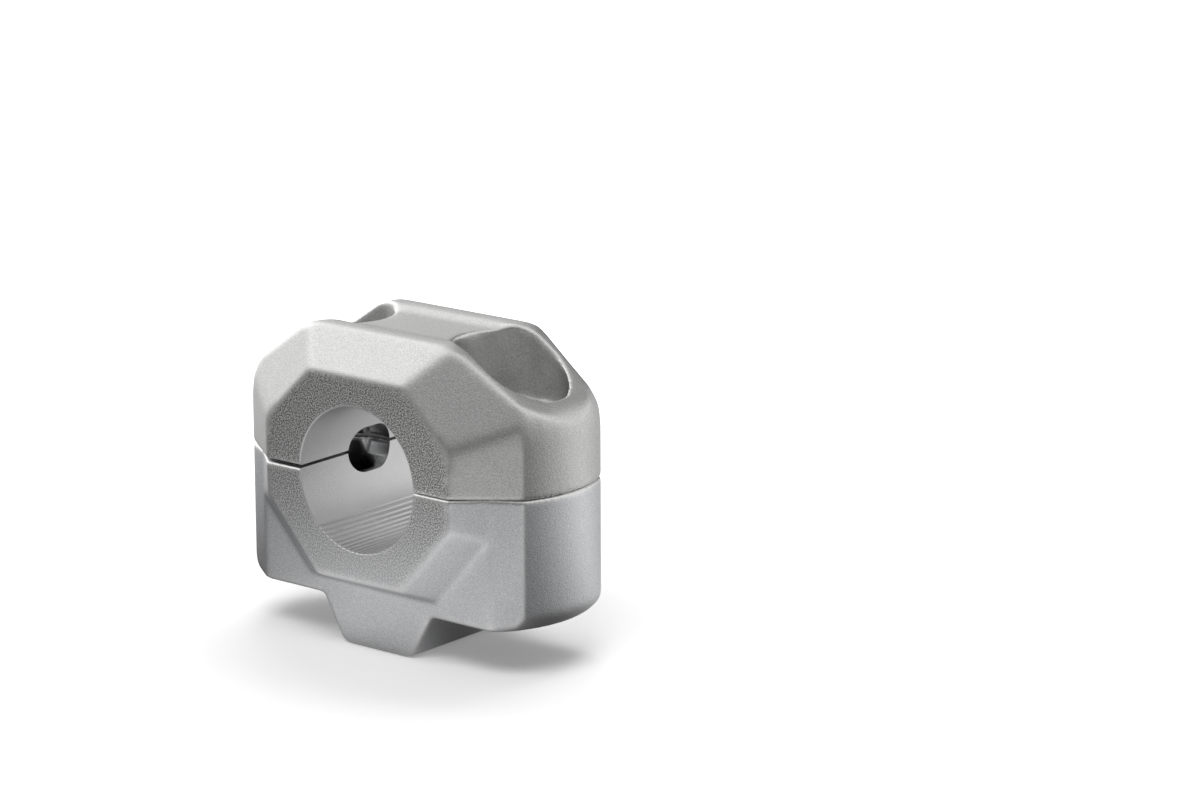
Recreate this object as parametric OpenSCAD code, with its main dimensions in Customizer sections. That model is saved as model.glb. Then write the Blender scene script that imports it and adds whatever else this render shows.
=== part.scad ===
// Clamp riser that lifts a handlebar: a base with a keel below and a cap above, each milled from one block.
// X runs fore and aft, Y along the bar, Z up. The origin is at the middle of the keel's underside.

/* [Bar bore] */
// Diameter of the bar that is clamped
bar_d = 28.6; // [22:0.1:32]
// Length of the riser along the bar
body_len = 40; // [36:0.5:60]
// Height of the bar's axis above the underside of the base
bar_rise = 26; // [24:0.5:50]
// Width of the chamfer at both mouths of the bore
bore_chamfer = 0.4; // [0.2:0.1:1]

/* [Body] */
// Width of the flat end faces on each side of the bore
end_wall = 8.6; // [7:0.1:10]
// Width of the side bevels, seen along the bar
side_bevel_w = 11.4; // [9:0.1:14]
// Depth of the side bevels, from an end face back to the ridge corner
side_bevel = 8.5; // [7:0.1:10]
// How far each side bulges out between its corners
side_bulge = 3; // [1.5:0.1:4]

/* [Cap] */
// Thickness of the cap over the bore
crown = 13; // [11.5:0.1:16]
// Width of the flat top
top_w = 36.4; // [32:0.2:42]
// Angle at which the shoulders fall away from the top
shoulder_angle = 34; // [28:1:38]
// Radius where a shoulder rolls over into the bulged side
shoulder_r = 7; // [3:0.5:8]
// Radius of the ridge corners, seen from the end
ridge_r = 12; // [4:0.5:14]
// How far below its sharp corner a ridge is rounded
ridge_cut = 1; // [0.5:0.1:2]
// Radius where the top turns into a shoulder
top_r = 11; // [4:0.5:13]
// Height of the end face above the bore
end_crown = 5.9; // [4.5:0.1:7.5]
// Width of the end face's top edge
end_top_w = 22.8; // [18:0.2:26]
// Height at which the upper end face's upright sides end
end_side_h = 9.1; // [6:0.1:11]
// Depth of the top bevels
top_bevel = 7.3; // [5:0.1:9]
// Width of each crest band, between a top bevel and the channel
crest_w = 4.3; // [3:0.1:6]
// Depth of the channel across the top
channel_depth = 0.9; // [0.4:0.1:2]
// Open gap between the halves on the rear side of the bar
rear_gap = 0.6; // [0.2:0.1:1.5]

/* [Base] */
// How far the raised pad of the lower end face stands out
pad_depth = 5.2; // [4:0.1:6]
// Width of the pad's bevels
pad_bevel_w = 5.7; // [4.5:0.1:6.5]
// Height of the pad below the bore
pad_drop = 6.2; // [5:0.1:8]
// How far the pad's lower edge slants down on its way back
pad_lip = 1.8; // [0.5:0.1:3]
// Depth at which the lower end face's upright sides end
pad_side_h = 6.3; // [4:0.1:9]
// Width of the lower end face's bottom edge
pad_bottom_w = 20.6; // [16:0.2:24]
// Radius of the lower edge of the bulged sides
foot_r = 3.5; // [1:0.5:5]

/* [Keel] */
// Depth of the keel below the underside of the base
keel_h = 9; // [4:0.5:14]
// Width of the keel's underside
keel_bottom_w = 17.2; // [12:0.2:22]
// Width of the keel where it leaves the base
keel_top_w = 27.4; // [23:0.2:32]
// Radius of the keel's lower edges
keel_r = 2; // [0.5:0.1:3]

/* [Bolts] */
// Diameter of the bolt holes
bolt_hole_d = 9.4; // [6.4:0.1:10]
// Wall between the bore and a bolt hole
bolt_wall = 1; // [0.6:0.1:3]
// Width of the bolt wells along the bar
well_w = 19.2; // [15:0.2:20]
// How much longer than wide a well is, outwards
well_stretch = 3.4; // [0:0.2:4]
// Wall between the bore and the inner edge of a well's floor
well_wall = 2.3; // [1.5:0.1:4]
// Height of the cross slot from the bore into the rear bolt hole
cross_slot_h = 9; // [4:0.1:9.2]
// How much longer than high the cross slot is, along the bar
cross_slot_stretch = 3.2; // [1:0.2:5]

/* [Hidden] */
$fn = 96;
corner_steps = 8;
bar_r = bar_d / 2;
bar_z = keel_h + bar_rise;
cap_h = bar_r + crown;
end_y = body_len / 2;
end_x = bar_r + end_wall;
end_h = bar_r + end_crown;
corner_x = end_x + side_bevel_w;
corner_y = end_y - side_bevel;
pad_y = end_y - pad_depth;
pad_z = bar_r + pad_drop;
bolt_x = bar_r + bolt_wall + bolt_hole_d / 2;
well_x = bolt_x - well_w / 2;
well_floor = sqrt(pow(bar_r + well_wall, 2) - well_x * well_x);
shoulder_fall = tan(shoulder_angle);
// Longer than any side of the body, for cuts that run right through.
far = 4 * corner_x;
// Lean that keeps the rounded shoulders clear of the upright sides below them.
side_lean = 5;
// Slope of the cone that carries a ridge's rounded corner on upwards.
cone_angle = 50;
// Each bulged side is part of a drum that runs through both of its corners.
drum_r = (corner_y * corner_y + side_bulge * side_bulge) / (2 * side_bulge);
drum_x = corner_x + side_bulge - drum_r;

function unit(v) = v / norm(v);

// Points that round off the corner at p between its neighbours a and b.
function rounded(a, p, b, r) =
    let (u = unit(a - p), v = unit(b - p), half = acos(u * v) / 2, c = p + unit(u + v) * r / sin(half),
         s = p + u * r / tan(half) - c, e = p + v * r / tan(half) - c,
         turn = atan2(s.x * e.y - s.y * e.x, s * e), start = atan2(s.y, s.x))
    [for (i = [0:corner_steps]) c + r * [cos(start + turn * i / corner_steps), sin(start + turn * i / corner_steps)]];

// The other half of an outline that is the same on both sides of the middle.
function mirrored(points) = [for (i = [len(points) - 1:-1:0]) [-points[i].x, points[i].y]];

module both_sides() {
    children();
    mirror([1, 0, 0]) children();
}

// Stands an outline drawn in X and Z upright and stretches it along the bar.
module along_bar(length) {
    rotate([90, 0, 0]) linear_extrude(length, center = true) children();
}

// Stretches an outline drawn in Y and Z across the bar.
module across_bar() {
    rotate([90, 0, 90]) linear_extrude(far, center = true) children();
}

// Roof across the bar, which meets the end faces at the height h and slants back by slant for each unit of height.
module roof(h, slant) {
    foot = end_y + slant * (h + far);
    across_bar() polygon([[-foot, -far], [foot, -far], [0, h + end_y / slant]]);
}

// Plan with flat ends as wide as x on each side, whose corners slant back by slant for each unit of width.
module slanted_plan(x, y, slant) {
    polygon([[x, -y], [x + y / slant, 0], [x, y], [-x, y], [-x - y / slant, 0], [-x, -y]]);
}

// The space on the inner side of a drum that stands at the right, as far as the drum's axis and beyond it.
module inside_drum() {
    translate([drum_x, 0, 0]) children();
    translate([drum_x - far, -far / 2, -far / 2]) cube(far);
}

// The block between the two bulged sides, with the same drum on each side.
module between_drums() {
    intersection() {
        inside_drum() children();
        mirror([1, 0, 0]) inside_drum() children();
    }
}

module bar_bore() {
    rotate([90, 0, 0]) cylinder(r = bar_r, h = far, center = true);
    for (end = [-1, 1]) translate([0, end * end_y, 0]) rotate([-90 * end, 0, 0])
        translate([0, 0, -bore_chamfer]) cylinder(r1 = bar_r, r2 = bar_r + 2 * bore_chamfer, h = 2 * bore_chamfer);
}

module bolt_holes() {
    both_sides() translate([bolt_x, 0, 0]) cylinder(d = bolt_hole_d, h = far, center = true);
}

// Long hole with round ends, from the origin up. Its flat walls stand a touch inside the ends, so none are tangent.
module long_hole(d, stretch, depth) {
    flat_d = d - 0.1;
    cylinder(d = d, h = depth);
    translate([stretch, 0, 0]) cylinder(d = d, h = depth);
    translate([0, -flat_d / 2, 0]) cube([stretch, flat_d, depth]);
}

// Slot on the split, from the bore into the rear bolt hole.
module cross_slot() {
    translate([0, -cross_slot_stretch / 2, 0]) rotate([0, -90, 0]) rotate([0, 0, 90])
        long_hole(cross_slot_h, cross_slot_stretch, bolt_x);
}

// Wells for the bolt heads.
module bolt_wells() {
    both_sides() translate([bolt_x, 0, well_floor]) long_hole(well_w, well_stretch, far);
}

// Channel across the top, between the two crest bands.
module channel() {
    edge = end_y - top_bevel - crest_w;
    floor_edge = edge - 1.6 * channel_depth;
    half = [[edge, cap_h + 1], [edge, cap_h], [floor_edge, cap_h - channel_depth]];
    across_bar() polygon(concat(mirrored(half), half));
}

// Outline of the cap seen along the bar: flat top, shoulders and their rounded edges.
module cap_outline() {
    edge = [top_w / 2, cap_h];
    side = [corner_x + side_bulge, cap_h - (corner_x + side_bulge - top_w / 2) * shoulder_fall];
    low = side + far * [sin(side_lean), -cos(side_lean)];
    half = concat(rounded([0, cap_h], edge, side, top_r), rounded(edge, side, low, shoulder_r), [low]);
    polygon(concat(mirrored(half), half));
}

// Bulged side of the cap, rounded where it meets the ridge. The steep cone above stays clear of the flat top.
module cap_drum() {
    edge = [drum_r, cap_h - (corner_x - top_w / 2) * shoulder_fall - ridge_cut];
    tip = edge + drum_r * [-1, tan(cone_angle)];
    rotate_extrude() polygon(concat([tip, [0, 0], [drum_r, 0]], rounded([drum_r, 0], edge, tip, ridge_r)));
}

// Bevels beside the top bevels. They meet the ridge where the flat top ends.
module cap_diagonals() {
    tilt = atan2(end_h - end_side_h, end_x - end_top_w / 2);
    reach = end_x * sin(tilt) + end_side_h * cos(tilt);
    ridge_reach = top_w / 2 * sin(tilt) + cap_h * cos(tilt);
    intersection_for (side = [-1, 1]) rotate([0, side * tilt, 0]) roof(reach, top_bevel / (ridge_reach - reach));
}

module clamp_cap() {
    color([0.80, 0.80, 0.79]) translate([0, 0, bar_z]) difference() {
        intersection() {
            along_bar(far) cap_outline();
            linear_extrude(cap_h) slanted_plan(end_x, end_y, side_bevel / side_bevel_w);
            between_drums() cap_drum();
            roof(end_h, top_bevel / (cap_h - end_h));
            cap_diagonals();
        }
        bar_bore();
        bolt_holes();
        bolt_wells();
        cross_slot();
        channel();
        translate([-far, -far / 2, -1]) cube([far, far, 1 + rear_gap]);
    }
}

// Bulged side of the base, rounded at its lower edge.
module base_drum() {
    edge = [drum_r, -bar_rise];
    rotate_extrude() polygon(concat([[0, 0], [0, -bar_rise]], rounded([0, -bar_rise], edge, [drum_r, 0], foot_r), [[drum_r, 0]]));
}

// Raised pad of each lower end face, with bevels beside and below it.
module pad() {
    tilt = atan2(pad_z - pad_side_h, end_x - pad_bottom_w / 2);
    reach = end_x * sin(tilt) + pad_side_h * cos(tilt);
    intersection() {
        translate([0, 0, -bar_rise]) linear_extrude(bar_rise) slanted_plan(end_x, end_y, pad_depth / pad_bevel_w);
        mirror([0, 0, 1]) roof(pad_z, pad_depth / pad_lip);
        mirror([0, 0, 1]) intersection_for (side = [-1, 1]) rotate([0, side * tilt, 0]) roof(reach, pad_depth / pad_bevel_w);
    }
}

module keel() {
    bottom = [keel_bottom_w / 2, -bar_rise - keel_h];
    top = [keel_top_w / 2, -bar_rise];
    half = concat(rounded([0, bottom.y], bottom, top, keel_r), [top, [top.x, 0]]);
    along_bar(2 * pad_y) polygon(concat(mirrored(half), half));
}

module riser_base() {
    color([0.78, 0.79, 0.80]) translate([0, 0, bar_z]) difference() {
        union() {
            intersection() {
                between_drums() base_drum();
                union() {
                    pad();
                    translate([0, 0, -bar_rise]) linear_extrude(bar_rise)
                        slanted_plan(end_x + pad_bevel_w, pad_y, (side_bevel - pad_depth) / (side_bevel_w - pad_bevel_w));
                }
            }
            keel();
        }
        bar_bore();
        bolt_holes();
        cross_slot();
    }
}

riser_base();
clamp_cap();
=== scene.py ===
import math

import bmesh
import bpy
import numpy as np
from mathutils import Matrix, Vector


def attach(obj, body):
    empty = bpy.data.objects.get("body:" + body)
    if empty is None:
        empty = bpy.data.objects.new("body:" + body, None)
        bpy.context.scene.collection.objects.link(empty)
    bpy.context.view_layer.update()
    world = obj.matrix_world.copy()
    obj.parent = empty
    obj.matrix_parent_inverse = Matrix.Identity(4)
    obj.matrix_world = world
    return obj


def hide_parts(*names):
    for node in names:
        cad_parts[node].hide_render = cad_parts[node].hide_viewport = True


# A two-piece handlebar riser in bead-blasted aluminium, standing on its keel on a white table.
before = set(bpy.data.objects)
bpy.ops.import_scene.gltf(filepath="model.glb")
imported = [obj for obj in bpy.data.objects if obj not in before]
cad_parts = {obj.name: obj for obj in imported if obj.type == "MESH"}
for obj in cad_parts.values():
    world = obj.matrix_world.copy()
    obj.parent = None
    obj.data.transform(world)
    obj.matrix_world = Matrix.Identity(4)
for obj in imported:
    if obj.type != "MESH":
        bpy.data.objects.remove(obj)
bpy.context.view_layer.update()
mm = 0.001

# Places that the modelling below shares with the solids
riser = {
    "splitHeight": 35.0 * mm,
    "boreRadius": 14.3 * mm,
    "halfLength": 20.0 * mm,
    "rearGap": 0.6 * mm,
    "boltX": 20.0 * mm,
    "wellRadius": 9.6 * mm,
    "wellStretch": 3.4 * mm,
    "wellFloor": 47.9 * mm,
    "holeRadius": 4.7 * mm,
}


def meshObject(name, verts, faces):
    mesh = bpy.data.meshes.new(name)
    mesh.from_pydata([tuple(v) for v in verts], [], faces)
    mesh.update()
    obj = bpy.data.objects.new(name, mesh)
    bpy.context.scene.collection.objects.link(obj)
    return obj


def applyModifiers(obj):
    depsgraph = bpy.context.evaluated_depsgraph_get()
    baked = bpy.data.meshes.new_from_object(obj.evaluated_get(depsgraph))
    old = obj.data
    obj.modifiers.clear()
    obj.data = baked
    bpy.data.meshes.remove(old)


# Loops of equal length, bridged one after the other and closed with a cap at both ends
def loftedLoops(name, loops):
    count = len(loops[0])
    verts = [p for loop in loops for p in loop]
    faces = []
    for k in range(len(loops) - 1):
        for i in range(count):
            j = (i + 1) % count
            faces.append((k * count + i, k * count + j, (k + 1) * count + j, (k + 1) * count + i))
    faces.append(tuple(reversed(range(count))))
    faces.append(tuple(range((len(loops) - 1) * count, len(loops) * count)))
    obj = meshObject(name, verts, faces)
    tidy = bmesh.new()
    tidy.from_mesh(obj.data)
    bmesh.ops.recalc_face_normals(tidy, faces=tidy.faces)
    tidy.to_mesh(obj.data)
    tidy.free()
    return obj


# Half round bar that fills the bore on one side of the split before the edges are rounded
def borePlug(name, lowAngle, cutHeight):
    radius = riser["boreRadius"] + 0.7 * mm
    centre = riser["splitHeight"]
    reach = math.asin((cutHeight - centre) / radius)
    start, end = (reach, math.pi - reach) if lowAngle == 0 else (math.pi - reach, 2 * math.pi + reach)
    arc = [start + (end - start) * i / 48 for i in range(49)]
    loops = [[(radius * math.cos(a), y, centre + radius * math.sin(a)) for a in arc]
             for y in (-riser["halfLength"], riser["halfLength"])]
    return loftedLoops(name, loops)


grip = {
    "firstAngle": -134.0,  # degrees from +X, round the lower wall
    "lastAngle": -46.0,
    "pitch": 4.4,
    "depth": 0.22 * mm,
    "chamfer": 0.16 * mm,
    "flare": 1.5 * mm,
    "sharpAngle": math.radians(12),
}


# Tool that cuts the bore with its grip grooves and the chamfers at both mouths
def boreTool(name):
    angles = [(a, 0.0) for a in np.arange(0.0, 226.0, 2.5)]
    grooves = int(round((grip["lastAngle"] - grip["firstAngle"]) / grip["pitch"]))
    for k in range(grooves):
        start = 360 + grip["firstAngle"] + k * grip["pitch"]
        angles += [(start, 0.0), (start + 0.22 * grip["pitch"], 0.0), (start + 0.5 * grip["pitch"], 1.0),
                   (start + 0.78 * grip["pitch"], 0.0)]
    angles += [(a, 0.0) for a in np.arange(360 + grip["lastAngle"], 359.0, 2.5)]
    end = riser["halfLength"]
    stations = [(-end - grip["flare"], grip["chamfer"] + grip["flare"]), (-end + grip["chamfer"], 0.0),
                (end - grip["chamfer"], 0.0), (end + grip["flare"], grip["chamfer"] + grip["flare"])]
    loops = []
    for y, extra in stations:
        loop = []
        for degrees, groove in angles:
            a = math.radians(degrees)
            r = riser["boreRadius"] + extra + (groove * grip["depth"])
            loop.append((r * math.cos(a), y, riser["splitHeight"] + r * math.sin(a)))
        loops.append(loop)
    return loftedLoops(name, loops)


slot = {
    "height": 9.0 * mm,
    "stretch": 3.2 * mm,
    "deepEnd": -19.0 * mm,
    "mouth": -10.0 * mm,
}


# Tool that opens the cross slot between the bore and the rear bolt hole
def slotTool(name):
    radius = 0.5 * slot["height"]
    loop = []
    for k in range(64):
        a = 2 * math.pi * k / 64
        loop.append((math.copysign(0.5 * slot["stretch"], math.cos(a)) + radius * math.cos(a),
                     riser["splitHeight"] + radius * math.sin(a)))
    return loftedLoops(name, [[(x, y, z) for y, z in loop] for x in (slot["deepEnd"], slot["mouth"])])


edges = {
    "voxel": 0.42 * mm,
    "crispSteps": 7,  # smoothing steps on every edge
    "softSteps": 20,  # more steps on the edges between the facets
    "crestSteps": 24,  # more steps along the crests and shoulders of the cap
    "crestHeight": 14 * mm,  # crests above the well floor, and how far their steps fade out downwards
    "crestFade": 5 * mm,
    "blendSteps": 60,  # more steps where a diagonal facet flows into a side bevel
    "splitBand": 2.0 * mm,  # stays crisp on both sides of the split
    "cornerBand": 3.0 * mm,  # stays crisp round the upright corner edges
    "rimReach": 1.6 * mm,
    "blendReach": 4.5 * mm,
    "cornerEdge": (34.3 * mm, 11.5 * mm, 48.0 * mm),  # half width, half length and upper end of these edges
    "blendLine": ((22.9 * mm, 20.0 * mm, 44.1 * mm), (34.3 * mm, 11.5 * mm, 49.4 * mm)),
}


# Smooth step from 1 inside the reach to 0 at twice the reach
def fadeOut(distance, reach):
    t = np.clip(2 - distance / reach, 0, 1)
    return t * t * (3 - 2 * t)


def segmentDistance(points, start, end):
    start, end = np.array(start), np.array(end)
    along = end - start
    t = np.clip((points - start) @ along / (along @ along), 0, 1)
    return np.linalg.norm(points - start - t[:, None] * along, axis=1)


# How far each point lies from the wall of the nearest bolt well, seen from above
def wellDistance(points):
    x = np.abs(points[:, 0])
    along = np.clip(x - riser["boltX"], 0, riser["wellStretch"])
    return np.abs(np.hypot(x - riser["boltX"] - along, points[:, 1]) - riser["wellRadius"])


def meshPoints(mesh):
    points = np.empty(len(mesh.vertices) * 3, dtype=np.float32)
    mesh.vertices.foreach_get("co", points)
    return points.reshape(-1, 3)


# Distance of each point from the bar's axis
def axisDistance(points):
    return np.hypot(points[:, 0], points[:, 2] - riser["splitHeight"])


# Splits the shading along the grip grooves and the chamfers of the bore. All other edges are round.
def sharpenBore(mesh):
    inside = axisDistance(meshPoints(mesh)) < riser["boreRadius"] + grip["chamfer"] + 0.1 * mm
    shape = bmesh.new()
    shape.from_mesh(mesh)
    for edge in shape.edges:
        bothInside = inside[edge.verts[0].index] and inside[edge.verts[1].index]
        if bothInside and edge.calc_face_angle(0) > grip["sharpAngle"]:
            edge.smooth = False
    shape.to_mesh(mesh)
    shape.free()


# A copy of a solid with its bore filled, all its edges rounded, and the bore cut again
def roundedHalf(name, node, plug):
    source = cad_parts[node]
    obj = bpy.data.objects.new(name, source.data.copy())
    bpy.context.scene.collection.objects.link(obj)
    obj.data.materials.clear()
    blank = bmesh.new()
    blank.from_mesh(obj.data)
    bmesh.ops.remove_doubles(blank, verts=blank.verts, dist=0.0005 * mm)
    blank.from_mesh(plug.data)
    blank.to_mesh(obj.data)
    blank.free()
    bpy.data.objects.remove(plug)

    remesh = obj.modifiers.new("voxels", "REMESH")
    remesh.mode = "VOXEL"
    remesh.voxel_size = edges["voxel"]
    applyModifiers(obj)
    points = meshPoints(obj.data)
    quarter = np.abs(points) * (1, 1, 0) + points * (0, 0, 1)  # every point brought to the same quarter
    x, y, top = edges["cornerEdge"]
    crisp = np.maximum(fadeOut(np.abs(points[:, 2] - riser["splitHeight"]), 0.5 * edges["splitBand"]),
                       fadeOut(segmentDistance(quarter, (x, y, 0), (x, y, top)), 0.5 * edges["cornerBand"]))
    rims = fadeOut(wellDistance(points), 0.5 * edges["rimReach"])
    belowCrests = riser["wellFloor"] + edges["crestHeight"] - points[:, 2]
    crestPart = (1 - rims) * fadeOut(belowCrests, edges["crestFade"]) * (points[:, 2] > riser["wellFloor"])
    blendPart = fadeOut(segmentDistance(quarter, *edges["blendLine"]), 0.5 * edges["blendReach"])
    rounds = (
        ("everyEdge", edges["crispSteps"], None),
        ("facets", edges["softSteps"], (1 - crisp) * (1 - 0.5 * rims)),
        ("crests", edges["crestSteps"], crestPart),
        ("blends", edges["blendSteps"], blendPart),
    )
    for label, steps, weights in rounds:
        soften = obj.modifiers.new(label, "SMOOTH")
        soften.factor = 0.5
        soften.iterations = steps
        if weights is not None:
            group = obj.vertex_groups.new(name=label)
            for level in range(1, 11):
                members = np.nonzero(np.round(weights * 10) == level)[0]
                group.add(members.tolist(), level / 10, "REPLACE")
            soften.vertex_group = label
    applyModifiers(obj)

    for tool in (boreTool(name + "BoreTool"), slotTool(name + "SlotTool")):
        cut = obj.modifiers.new("cut", "BOOLEAN")
        cut.operation = "DIFFERENCE"
        cut.solver = "EXACT"
        cut.object = tool
        applyModifiers(obj)
        bpy.data.objects.remove(tool)
    obj.vertex_groups.clear()
    obj.data.polygons.foreach_set("use_smooth", [True] * len(obj.data.polygons))
    sharpenBore(obj.data)
    return obj


# Stores how convex the surface is at each vertex, as a mask for a painted highlight and a smoother finish along
# the edges above a height
def storeEdgeMask(obj, quietBelow):
    mesh = obj.data
    points = meshPoints(mesh).astype(np.float64)
    normals = np.empty(len(points) * 3, dtype=np.float32)
    mesh.vertices.foreach_get("normal", normals)
    normals = normals.reshape(-1, 3)
    pairs = np.empty(len(mesh.edges) * 2, dtype=np.int32)
    mesh.edges.foreach_get("vertices", pairs)
    pairs = pairs.reshape(-1, 2)
    total = np.zeros_like(points)
    weight = np.zeros(len(points))
    for a, b in ((0, 1), (1, 0)):
        step = points[pairs[:, b]] - points[pairs[:, a]]
        length = np.maximum(np.linalg.norm(step, axis=1), 1e-7)
        np.add.at(total, pairs[:, a], step / length[:, None])
        np.add.at(weight, pairs[:, a], 1.0)
    bend = -(total * normals).sum(axis=1) / np.maximum(weight, 1)
    for _ in range(3):
        spread = np.zeros(len(points))
        np.add.at(spread, pairs[:, 0], bend[pairs[:, 1]])
        np.add.at(spread, pairs[:, 1], bend[pairs[:, 0]])
        bend = 0.5 * bend + 0.5 * spread / np.maximum(weight, 1)
    bend *= axisDistance(points) > riser["boreRadius"] + grip["chamfer"] + 0.3 * mm
    bend *= points[:, 2] > quietBelow
    mask = np.clip(bend / 0.16, -1, 1) * 0.5 + 0.5
    layer = mesh.attributes.new("edgeMask", "FLOAT", "POINT")
    layer.data.foreach_set("value", mask.astype(np.float32))


base = roundedHalf("riserBase", "riser_base", borePlug("basePlug", 180, riser["splitHeight"]))
storeEdgeMask(base, 0)
print("base:", len(base.data.polygons), "faces")
cap = roundedHalf("clampCap", "clamp_cap", borePlug("capPlug", 0, riser["splitHeight"] + riser["rearGap"]))
# The cap's painted edge highlight starts just above the split
storeEdgeMask(cap, riser["splitHeight"] + 1.5 * mm)
print("cap:", len(cap.data.polygons), "faces")
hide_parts("riser_base")
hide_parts("clamp_cap")
for piece in (base, cap):
    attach(piece, "root")


def newGroup(name, inputs, outputs):
    group = bpy.data.node_groups.new(name, "ShaderNodeTree")
    for label, kind, value in inputs:
        socket = group.interface.new_socket(label, in_out="INPUT", socket_type=kind)
        socket.default_value = value
    for label, kind in outputs:
        group.interface.new_socket(label, in_out="OUTPUT", socket_type=kind)
    return group, group.nodes.new("NodeGroupInput"), group.nodes.new("NodeGroupOutput")


def addNode(tree, kind, **settings):
    node = tree.nodes.new(kind)
    for key, value in settings.items():
        setattr(node, key, value)
    return node


def mathNode(tree, operation, first, second=None, third=None):
    node = addNode(tree, "ShaderNodeMath", operation=operation)
    for index, value in enumerate((first, second, third)):
        if value is None:
            continue
        if isinstance(value, (int, float)):
            node.inputs[index].default_value = value
        else:
            tree.links.new(value, node.inputs[index])
    return node.outputs[0]


# The flat end faces, with a coarser speckle and painted shade that makes them darker than the rest, less so
# towards the foot
def endFaceGroup():
    group, given, result = newGroup(
        "endFace",
        [("Half length", "NodeSocketFloat", riser["halfLength"]), ("Band", "NodeSocketFloat", 0.2 * mm),
         ("Full above", "NodeSocketFloat", 36 * mm), ("Least below", "NodeSocketFloat", 15 * mm),
         ("Least", "NodeSocketFloat", 0.25)],
        [("Mask", "NodeSocketFloat")])
    place = addNode(group, "ShaderNodeTexCoord")
    apart = addNode(group, "ShaderNodeSeparateXYZ")
    group.links.new(place.outputs["Object"], apart.inputs["Vector"])
    out = mathNode(group, "ABSOLUTE", apart.outputs["Y"])
    fade = addNode(group, "ShaderNodeMapRange")
    group.links.new(out, fade.inputs["Value"])
    inner = mathNode(group, "SUBTRACT", given.outputs["Half length"], given.outputs["Band"])
    group.links.new(inner, fade.inputs["From Min"])
    group.links.new(given.outputs["Half length"], fade.inputs["From Max"])
    foot = addNode(group, "ShaderNodeMapRange")
    group.links.new(apart.outputs["Z"], foot.inputs["Value"])
    group.links.new(given.outputs["Least below"], foot.inputs["From Min"])
    group.links.new(given.outputs["Full above"], foot.inputs["From Max"])
    group.links.new(given.outputs["Least"], foot.inputs["To Min"])
    mask = mathNode(group, "MULTIPLY", fade.outputs["Result"], foot.outputs["Result"])
    group.links.new(mask, result.inputs["Mask"])
    return group


# The bored wall, which keeps the cutter's finish instead of the blasted one
def boreWallGroup():
    group, given, result = newGroup(
        "boreWall",
        [("Radius", "NodeSocketFloat", riser["boreRadius"] + 0.3 * mm),
         ("Axis height", "NodeSocketFloat", riser["splitHeight"])],
        [("Mask", "NodeSocketFloat")])
    place = addNode(group, "ShaderNodeTexCoord")
    apart = addNode(group, "ShaderNodeSeparateXYZ")
    group.links.new(place.outputs["Object"], apart.inputs["Vector"])
    up = mathNode(group, "SUBTRACT", apart.outputs["Z"], given.outputs["Axis height"])
    acrossSquare = mathNode(group, "MULTIPLY", apart.outputs["X"], apart.outputs["X"])
    distance = mathNode(group, "SQRT", mathNode(group, "MULTIPLY_ADD", up, up, acrossSquare))
    inside = mathNode(group, "LESS_THAN", distance, given.outputs["Radius"])
    group.links.new(inside, result.inputs["Mask"])
    return group


# Painted shade down the bolt holes below the wells: their walls are coloured dark
def paintedHoleShadeGroup():
    group, given, result = newGroup(
        "paintedHoleShade",
        [("Axis offset", "NodeSocketFloat", riser["boltX"]),
         ("Radius", "NodeSocketFloat", riser["holeRadius"] + 0.3 * mm),
         ("Top", "NodeSocketFloat", riser["wellFloor"] - 0.4 * mm)],
        [("Mask", "NodeSocketFloat")])
    place = addNode(group, "ShaderNodeTexCoord")
    apart = addNode(group, "ShaderNodeSeparateXYZ")
    group.links.new(place.outputs["Object"], apart.inputs["Vector"])
    either = mathNode(group, "ABSOLUTE", apart.outputs["X"])
    along = mathNode(group, "SUBTRACT", either, given.outputs["Axis offset"])
    acrossSquare = mathNode(group, "MULTIPLY", apart.outputs["Y"], apart.outputs["Y"])
    distance = mathNode(group, "SQRT", mathNode(group, "MULTIPLY_ADD", along, along, acrossSquare))
    inside = mathNode(group, "LESS_THAN", distance, given.outputs["Radius"])
    below = mathNode(group, "LESS_THAN", apart.outputs["Z"], given.outputs["Top"])
    group.links.new(mathNode(group, "MULTIPLY", inside, below), result.inputs["Mask"])
    return group


# Grain left by bead blasting: fine pits over a coarser mottle
def blastedGrainGroup():
    group, given, result = newGroup(
        "blastedGrain",
        [("Pits per metre", "NodeSocketFloat", 3000.0), ("Mottle per metre", "NodeSocketFloat", 240.0),
         ("Mottle share", "NodeSocketFloat", 0.25)],
        [("Height", "NodeSocketFloat"), ("Speckle", "NodeSocketFloat"), ("Mottle", "NodeSocketFloat")])
    place = addNode(group, "ShaderNodeTexCoord")
    pits = addNode(group, "ShaderNodeTexNoise", noise_dimensions="3D")
    pits.inputs["Detail"].default_value = 2.0
    pits.inputs["Roughness"].default_value = 0.65
    group.links.new(place.outputs["Object"], pits.inputs["Vector"])
    group.links.new(given.outputs["Pits per metre"], pits.inputs["Scale"])
    mottle = addNode(group, "ShaderNodeTexNoise", noise_dimensions="3D")
    mottle.inputs["Detail"].default_value = 3.0
    group.links.new(place.outputs["Object"], mottle.inputs["Vector"])
    group.links.new(given.outputs["Mottle per metre"], mottle.inputs["Scale"])
    share = given.outputs["Mottle share"]
    mixed = mathNode(group, "MULTIPLY_ADD", mottle.outputs["Fac"], share, pits.outputs["Fac"])
    group.links.new(mixed, result.inputs["Height"])
    group.links.new(pits.outputs["Fac"], result.inputs["Speckle"])
    group.links.new(mottle.outputs["Fac"], result.inputs["Mottle"])
    return group
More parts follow.
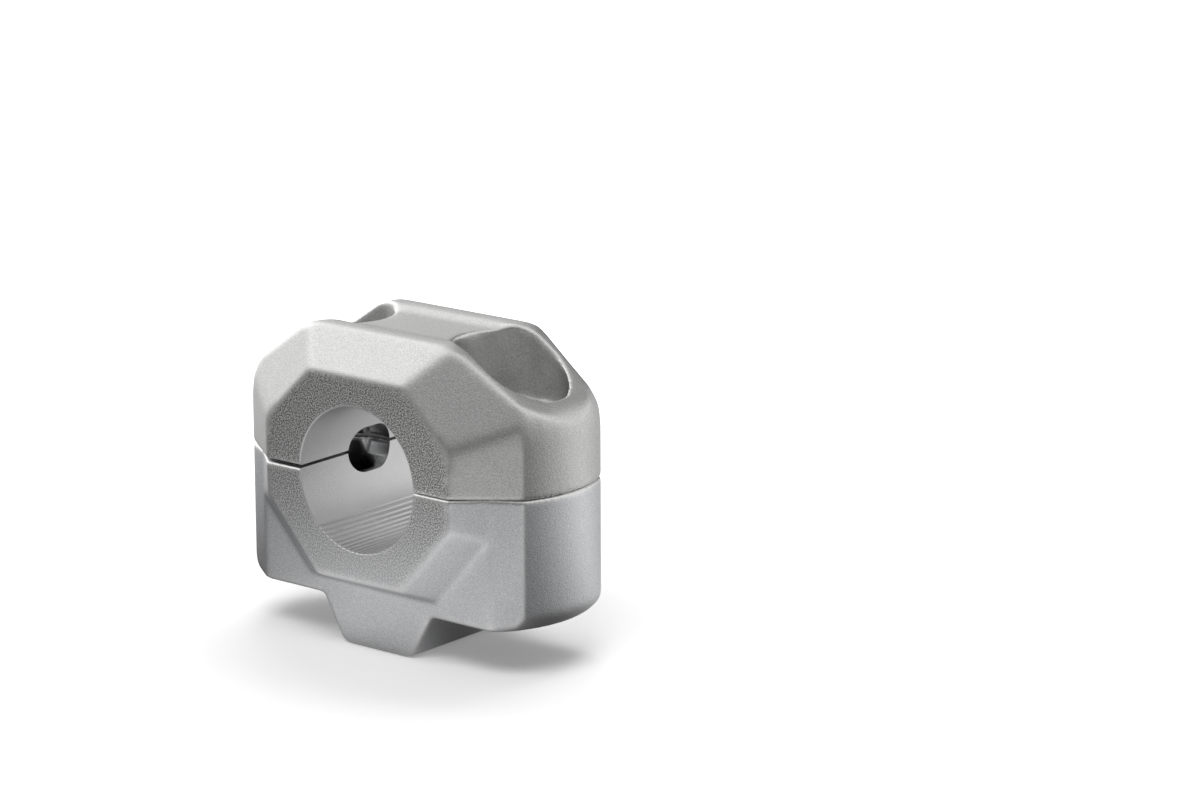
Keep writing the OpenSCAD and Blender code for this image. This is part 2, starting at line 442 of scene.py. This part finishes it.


# Painted highlight: lighter, smoother metal along the convex edges
def paintedEdgeHighlightGroup():
    group, given, result = newGroup(
        "paintedEdgeHighlight",
        [("Start", "NodeSocketFloat", 0.57), ("End", "NodeSocketFloat", 0.82),
         ("Breakup per metre", "NodeSocketFloat", 500.0)],
        [("Mask", "NodeSocketFloat")])
    bend = addNode(group, "ShaderNodeAttribute", attribute_name="edgeMask")
    place = addNode(group, "ShaderNodeTexCoord")
    breakup = addNode(group, "ShaderNodeTexNoise", noise_dimensions="3D")
    group.links.new(place.outputs["Object"], breakup.inputs["Vector"])
    group.links.new(given.outputs["Breakup per metre"], breakup.inputs["Scale"])
    lifted = mathNode(group, "MULTIPLY_ADD", breakup.outputs["Fac"], 0.1, bend.outputs["Fac"])
    span = addNode(group, "ShaderNodeMapRange")
    group.links.new(lifted, span.inputs["Value"])
    group.links.new(given.outputs["Start"], span.inputs["From Min"])
    group.links.new(given.outputs["End"], span.inputs["From Max"])
    group.links.new(span.outputs["Result"], result.inputs["Mask"])
    return group


blastedGrain = blastedGrainGroup()
paintedEdgeHighlight = paintedEdgeHighlightGroup()
endFace = endFaceGroup()
boreWall = boreWallGroup()
paintedHoleShade = paintedHoleShadeGroup()


def placeGroup(tree, group, values):
    node = addNode(tree, "ShaderNodeGroup", node_tree=group)
    for label, value in values.items():
        node.inputs[label].default_value = value
    return node


def blastedMetal(name, look):
    material = bpy.data.materials.new(name)
    material.use_nodes = True
    tree = material.node_tree
    shader = tree.nodes["Principled BSDF"]
    shader.inputs["Metallic"].default_value = 1.0
    grain = placeGroup(tree, blastedGrain, {"Pits per metre": look["pits"], "Mottle per metre": look["mottle"]})
    edgeHighlightMask = placeGroup(tree, paintedEdgeHighlight, {})

    shade = addNode(tree, "ShaderNodeMapRange")
    tree.links.new(grain.outputs["Speckle"], shade.inputs["Value"])
    shade.inputs["From Min"].default_value = 0.36
    shade.inputs["From Max"].default_value = 0.66
    body = addNode(tree, "ShaderNodeMix", data_type="RGBA")
    tree.links.new(shade.outputs["Result"], body.inputs["Factor"])
    body.inputs["A"].default_value = (*look["dark"], 1)
    body.inputs["B"].default_value = (*look["light"], 1)
    speckle = addNode(tree, "ShaderNodeMapRange")
    tree.links.new(grain.outputs["Speckle"], speckle.inputs["Value"])
    speckle.inputs["From Min"].default_value = 0.43
    speckle.inputs["From Max"].default_value = 0.58
    coarse = addNode(tree, "ShaderNodeMix", data_type="RGBA")
    tree.links.new(speckle.outputs["Result"], coarse.inputs["Factor"])
    coarse.inputs["A"].default_value = (*look["endDark"], 1)
    coarse.inputs["B"].default_value = (*look["endLight"], 1)
    # Painted shade: the end faces darkened, with a coarser speckle
    ends = placeGroup(tree, endFace, {})
    surface = addNode(tree, "ShaderNodeMix", data_type="RGBA")
    tree.links.new(ends.outputs["Mask"], surface.inputs["Factor"])
    tree.links.new(body.outputs["Result"], surface.inputs["A"])
    tree.links.new(coarse.outputs["Result"], surface.inputs["B"])
    bored = addNode(tree, "ShaderNodeMix", data_type="RGBA")
    wall = placeGroup(tree, boreWall, {})
    tree.links.new(wall.outputs["Mask"], bored.inputs["Factor"])
    tree.links.new(surface.outputs["Result"], bored.inputs["A"])
    bored.inputs["B"].default_value = (*look["bore"], 1)
    # Painted shade: the bolt hole walls darkened to the hole colour
    withHoleShade = addNode(tree, "ShaderNodeMix", data_type="RGBA")
    hole = placeGroup(tree, paintedHoleShade, {})
    tree.links.new(hole.outputs["Mask"], withHoleShade.inputs["Factor"])
    tree.links.new(bored.outputs["Result"], withHoleShade.inputs["A"])
    withHoleShade.inputs["B"].default_value = (*look["hole"], 1)
    # Painted highlight: convex edges lightened towards the edge colour
    edgeHighlighted = addNode(tree, "ShaderNodeMix", data_type="RGBA")
    edgeHighlightAmount = mathNode(tree, "MULTIPLY", edgeHighlightMask.outputs["Mask"], look["edgeHighlightShare"])
    tree.links.new(edgeHighlightAmount, edgeHighlighted.inputs["Factor"])
    tree.links.new(withHoleShade.outputs["Result"], edgeHighlighted.inputs["A"])
    edgeHighlighted.inputs["B"].default_value = (*look["edge"], 1)
    tree.links.new(edgeHighlighted.outputs["Result"], shader.inputs["Base Color"])

    uneven = mathNode(tree, "MULTIPLY_ADD", grain.outputs["Mottle"], look["roughnessSpread"],
                      look["roughness"] - 0.5 * look["roughnessSpread"])
    smoother = mathNode(tree, "MULTIPLY_ADD", edgeHighlightMask.outputs["Mask"], -look["edgeGloss"], uneven)
    tree.links.new(smoother, shader.inputs["Roughness"])
    bump = addNode(tree, "ShaderNodeBump")
    bump.inputs["Strength"].default_value = look["bumpStrength"]
    bump.inputs["Distance"].default_value = look["bumpDepth"]
    tree.links.new(grain.outputs["Height"], bump.inputs["Height"])
    tree.links.new(bump.outputs["Normal"], shader.inputs["Normal"])
    return material


capLook = {
    # The edge colour is a painted highlight on convex edges, and its share sets how strong it is
    "dark": (0.65, 0.65, 0.645), "light": (0.89, 0.89, 0.88), "edge": (1.0, 1.0, 0.99), "edgeHighlightShare": 0.7,
    # The dark end colour is painted shade on the end faces
    "endDark": (0.2, 0.2, 0.195), "endLight": (1.0, 1.0, 0.99), "bore": (0.82, 0.82, 0.82),
    # The hole colour is painted shade down the bolt holes
    "hole": (0.22, 0.22, 0.22),
    "roughness": 0.34, "roughnessSpread": 0.08, "edgeGloss": 0.08,
    "pits": 3700.0, "mottle": 240.0, "bumpStrength": 0.7, "bumpDepth": 0.09 * mm,
}
baseLook = dict(capLook, dark=(0.74, 0.745, 0.76), light=(0.96, 0.97, 0.99), edgeHighlightShare=0.85)
cap.data.materials.append(blastedMetal("blastedCapMetal", capLook))
base.data.materials.append(blastedMetal("blastedBaseMetal", baseLook))
print("metal ready")

room = {
    "floorSize": 3.0,
    "floorColor": (0.80, 0.80, 0.80),
    "floorGlow": (0.18, 1.0),  # near the riser and away from it, where the white fades in
    "whiteFrom": (0.08, 0.24),
    "worldColor": (1.0, 1.0, 1.0),
    "worldStrength": 0.3,
}

# Soft panels that the metal mirrors, with dark gaps between them. Left and right are as the camera sees them.
# Azimuths from +X, elevations and spreads are in degrees.
panels = {
    "tableRightRear": {"azimuth": 60, "elevation": -38, "spread": 26, "level": 0.45},
    "tableRear": {"azimuth": 120, "elevation": -38, "spread": 26, "level": 0.5},
    "tableLeft": {"azimuth": 240, "elevation": -38, "spread": 26, "level": 0.6},
    "tableFront": {"azimuth": 300, "elevation": -38, "spread": 26, "level": 0.6},
    "edgeFrontLeft": {"azimuth": 255, "elevation": -14, "spread": 18, "level": 0.25},
    "edgeFront": {"azimuth": 315, "elevation": -14, "spread": 18, "level": 0.4},
    "edgeRightFront": {"azimuth": 15, "elevation": -14, "spread": 18, "level": 0.2},
    "edgeRight": {"azimuth": 45, "elevation": -14, "spread": 18, "level": 0.45},
    "edgeRear": {"azimuth": 105, "elevation": -14, "spread": 18, "level": 0.5},
    "edgeRearLeft": {"azimuth": 165, "elevation": -14, "spread": 18, "level": 0.1},
    "lowLeft": {"azimuth": 200, "elevation": 12, "spread": 24, "level": 0.2},
    "lowFrontRight": {"azimuth": 340, "elevation": 12, "spread": 24, "level": 0.1},
    "lowRight": {"azimuth": 20, "elevation": 12, "spread": 24, "level": 0.35},
    "lowRightRear": {"azimuth": 68, "elevation": 12, "spread": 24, "level": 0.8},
    "lowRearLeft": {"azimuth": 158, "elevation": 12, "spread": 24, "level": 1.3},
    "highLeft": {"azimuth": 210, "elevation": 42, "spread": 28, "level": 1.0},
    "highFrontLeft": {"azimuth": 270, "elevation": 42, "spread": 28, "level": 0.35},
    "highFrontRight": {"azimuth": 330, "elevation": 42, "spread": 28, "level": 0.15},
    "highRight": {"azimuth": 30, "elevation": 42, "spread": 28, "level": 0.6},
    "highRearLeft": {"azimuth": 150, "elevation": 42, "spread": 28, "level": 0.7},
    "top": {"azimuth": 0, "elevation": 80, "spread": 30, "level": 0.6},
}


# Unit vector towards an azimuth from +X and an elevation, both in degrees
def towards(azimuth, elevation):
    azimuth, elevation = math.radians(azimuth), math.radians(elevation)
    flat = math.cos(elevation)
    return Vector((math.cos(azimuth) * flat, math.sin(azimuth) * flat, math.sin(elevation)))


# One soft panel: brightest along its axis, fading with the angle away from it
def softPanelGroup():
    group, given, result = newGroup(
        "softPanel",
        [("Direction", "NodeSocketVector", (0, 0, 1)), ("Axis", "NodeSocketVector", (0, 0, 1)),
         ("Sharpness", "NodeSocketFloat", 10.0)],
        [("Mask", "NodeSocketFloat")])
    aligned = addNode(group, "ShaderNodeVectorMath", operation="DOT_PRODUCT")
    group.links.new(given.outputs["Direction"], aligned.inputs[0])
    group.links.new(given.outputs["Axis"], aligned.inputs[1])
    away = mathNode(group, "SUBTRACT", aligned.outputs["Value"], 1.0)
    fallOff = mathNode(group, "MULTIPLY", away, given.outputs["Sharpness"])
    group.links.new(mathNode(group, "EXPONENT", fallOff), result.inputs["Mask"])
    return group


# Sum of all panels in a direction from the riser
def panelLightGroup(softPanel):
    group, given, result = newGroup(
        "panelLight", [("Direction", "NodeSocketVector", (0, 0, 1))], [("Level", "NodeSocketFloat")])
    total = 0.0
    for name, panel in panels.items():
        lit = placeGroup(group, softPanel, {
            "Axis": towards(panel["azimuth"], panel["elevation"]),
            "Sharpness": 1 / (1 - math.cos(math.radians(panel["spread"])))})
        group.links.new(given.outputs["Direction"], lit.inputs["Direction"])
        total = mathNode(group, "MULTIPLY_ADD", lit.outputs["Mask"], panel["level"], total)
        total.node.label = name
    group.links.new(total, result.inputs["Level"])
    return group


panelLight = panelLightGroup(softPanelGroup())


def makeFloor():
    half = room["floorSize"]
    corners = [(-half, -half, 0), (half, -half, 0), (half, half, 0), (-half, half, 0)]
    floor = meshObject("floor", corners, [(0, 1, 2, 3)])
    material = bpy.data.materials.new("whiteTable")
    material.use_nodes = True
    tree = material.node_tree
    shader = tree.nodes["Principled BSDF"]
    shader.inputs["Roughness"].default_value = 0.8
    shader.inputs["Specular IOR Level"].default_value = 0.2
    path = addNode(tree, "ShaderNodeLightPath")
    paint = addNode(tree, "ShaderNodeMix", data_type="RGBA")
    tree.links.new(path.outputs["Is Glossy Ray"], paint.inputs["Factor"])
    paint.inputs["A"].default_value = (*room["floorColor"], 1)
    paint.inputs["B"].default_value = (0, 0, 0, 1)
    tree.links.new(paint.outputs["Result"], shader.inputs["Base Color"])
    place = addNode(tree, "ShaderNodeTexCoord")
    away = addNode(tree, "ShaderNodeVectorMath", operation="SUBTRACT")
    tree.links.new(place.outputs["Object"], away.inputs[0])
    away.inputs[1].default_value = (0, 0, riser["splitHeight"])
    direction = addNode(tree, "ShaderNodeVectorMath", operation="NORMALIZE")
    tree.links.new(away.outputs["Vector"], direction.inputs[0])
    mirrored = placeGroup(tree, panelLight, {})
    tree.links.new(direction.outputs["Vector"], mirrored.inputs["Direction"])
    reach = addNode(tree, "ShaderNodeVectorMath", operation="LENGTH")
    tree.links.new(place.outputs["Object"], reach.inputs[0])
    fadeIn = addNode(tree, "ShaderNodeMapRange", interpolation_type="SMOOTHSTEP")
    tree.links.new(reach.outputs["Value"], fadeIn.inputs["Value"])
    fadeIn.inputs["From Min"].default_value, fadeIn.inputs["From Max"].default_value = room["whiteFrom"]
    fadeIn.inputs["To Min"].default_value, fadeIn.inputs["To Max"].default_value = room["floorGlow"]
    glow = mathNode(tree, "MULTIPLY", path.outputs["Is Camera Ray"], fadeIn.outputs["Result"])
    light = mathNode(tree, "MULTIPLY_ADD", mirrored.outputs["Level"], path.outputs["Is Glossy Ray"], glow)
    tree.links.new(light, shader.inputs["Emission Strength"])
    shader.inputs["Emission Color"].default_value = (1, 1, 1, 1)
    floor.data.materials.append(material)


def makeWorld():
    world = bpy.data.worlds.new("studio")
    world.use_nodes = True
    bpy.context.scene.world = world
    tree = world.node_tree
    background = tree.nodes["Background"]
    path = addNode(tree, "ShaderNodeLightPath")
    place = addNode(tree, "ShaderNodeTexCoord")
    mirrored = placeGroup(tree, panelLight, {})
    tree.links.new(place.outputs["Generated"], mirrored.inputs["Direction"])
    plain = addNode(tree, "ShaderNodeMapRange")
    tree.links.new(path.outputs["Is Camera Ray"], plain.inputs["Value"])
    plain.inputs["To Min"].default_value = room["worldStrength"]
    plain.inputs["To Max"].default_value = 1.0
    strength = addNode(tree, "ShaderNodeMix", data_type="FLOAT")
    tree.links.new(path.outputs["Is Glossy Ray"], strength.inputs["Factor"])
    tree.links.new(plain.outputs["Result"], strength.inputs["A"])
    tree.links.new(mirrored.outputs["Level"], strength.inputs["B"])
    tree.links.new(strength.outputs["Result"], background.inputs["Strength"])
    background.inputs["Color"].default_value = (*room["worldColor"], 1)


# Soft boxes: direction towards the lamp in degrees from +X and above the table, distance, size and power
softBoxes = {
    "overheadFront": {"azimuth": 290, "elevation": 60, "distance": 0.8, "size": (0.6, 0.4), "power": 3.9},
    "overheadRear": {"azimuth": 110, "elevation": 60, "distance": 0.8, "size": (0.6, 0.4), "power": 3.9},
    "left": {"azimuth": 190, "elevation": 30, "distance": 0.7, "size": (0.6, 0.8), "power": 0.6},
    "rightRear": {"azimuth": 70, "elevation": 35, "distance": 0.9, "size": (0.5, 0.5), "power": 0.4},
}


def makeLights():
    target = Vector((0, 0, riser["splitHeight"]))
    for name, box in softBoxes.items():
        lamp = bpy.data.lights.new(name, "AREA")
        lamp.shape = "RECTANGLE"
        lamp.size, lamp.size_y = box["size"]
        lamp.energy = box["power"]
        obj = bpy.data.objects.new(name, lamp)
        obj.visible_glossy = False
        bpy.context.scene.collection.objects.link(obj)
        away = towards(box["azimuth"], box["elevation"])
        obj.location = target + away * box["distance"]
        obj.rotation_euler = away.to_track_quat("Z", "Y").to_euler()


# The photographer's place: angles in degrees, lengths in metres, shift in frame widths
shot = {
    "azimuth": 41.03,
    "elevation": 15.22,
    "roll": -0.74,
    "distance": 0.8677,
    "aim": (0.0, 0.0, 35.0 * mm),
    "lens": 135.14,
    "shift": (0.1461, 0.0492),
}


def makeCamera():
    camera = bpy.data.cameras.new("camera")
    camera.sensor_width = 36.0
    camera.lens = shot["lens"]
    camera.shift_x, camera.shift_y = shot["shift"]
    camera.clip_end = 20
    obj = bpy.data.objects.new("camera", camera)
    bpy.context.scene.collection.objects.link(obj)
    forward = -towards(shot["azimuth"] - 90, shot["elevation"])
    right = towards(shot["azimuth"], 0)
    up = right.cross(forward)
    turn = Matrix((right, up, -forward)).transposed() @ Matrix.Rotation(math.radians(shot["roll"]), 3, "Z")
    place = turn.to_4x4()
    place.translation = Vector(shot["aim"]) - forward * shot["distance"]
    obj.matrix_world = place
    bpy.context.scene.camera = obj


makeFloor()
makeWorld()
makeLights()
makeCamera()
bpy.context.scene.view_settings.view_transform = "Standard"
print("stage ready")
